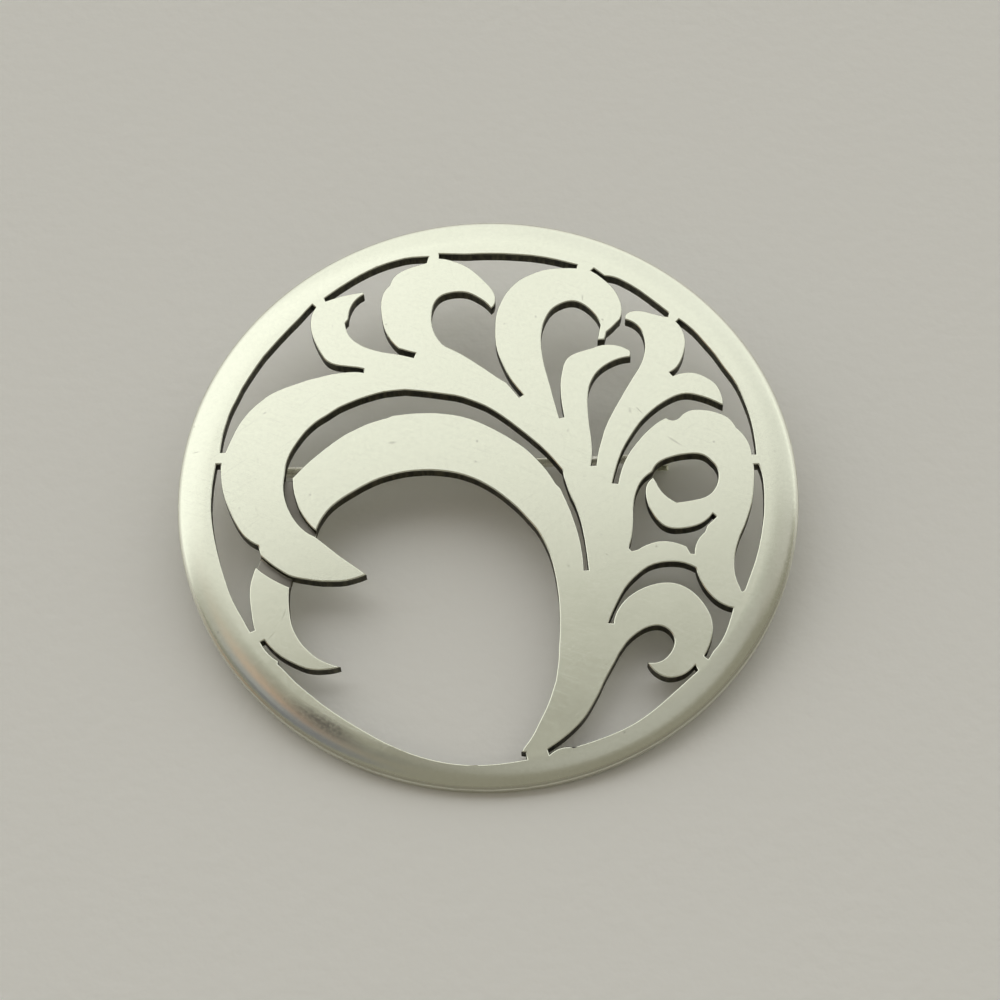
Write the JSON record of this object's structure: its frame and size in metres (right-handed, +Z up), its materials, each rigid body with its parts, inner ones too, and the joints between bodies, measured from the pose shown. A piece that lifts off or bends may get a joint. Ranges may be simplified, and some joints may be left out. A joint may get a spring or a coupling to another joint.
{
  "type": "silver disc brooch",
  "caption": "Round flat silver brooch pierced with a tendril scroll and a hook crossing a crescent band, with a hinge, straight pin and catch on the back.",
  "frame": {"origin": "on the table under the middle of the brooch's box, with the brooch lying on its back on its lower edge, its hinge and its catch", "axes": "+Z up, away from the table; +Y towards the top of the ornament; +X to the wearer's left, which is the right of the ornament seen from the front"},
  "size_m": [0.045, 0.0448, 0.0066],
  "materials": {
    "satin_silver": "satin silver, hand finished",
    "pin_silver": "drawn silver wire, plain"
  },
  "bodies": {
    "root": {"pierced_plate": "satin_silver", "pin_stem": "pin_silver"}
  },
  "joints": []
}
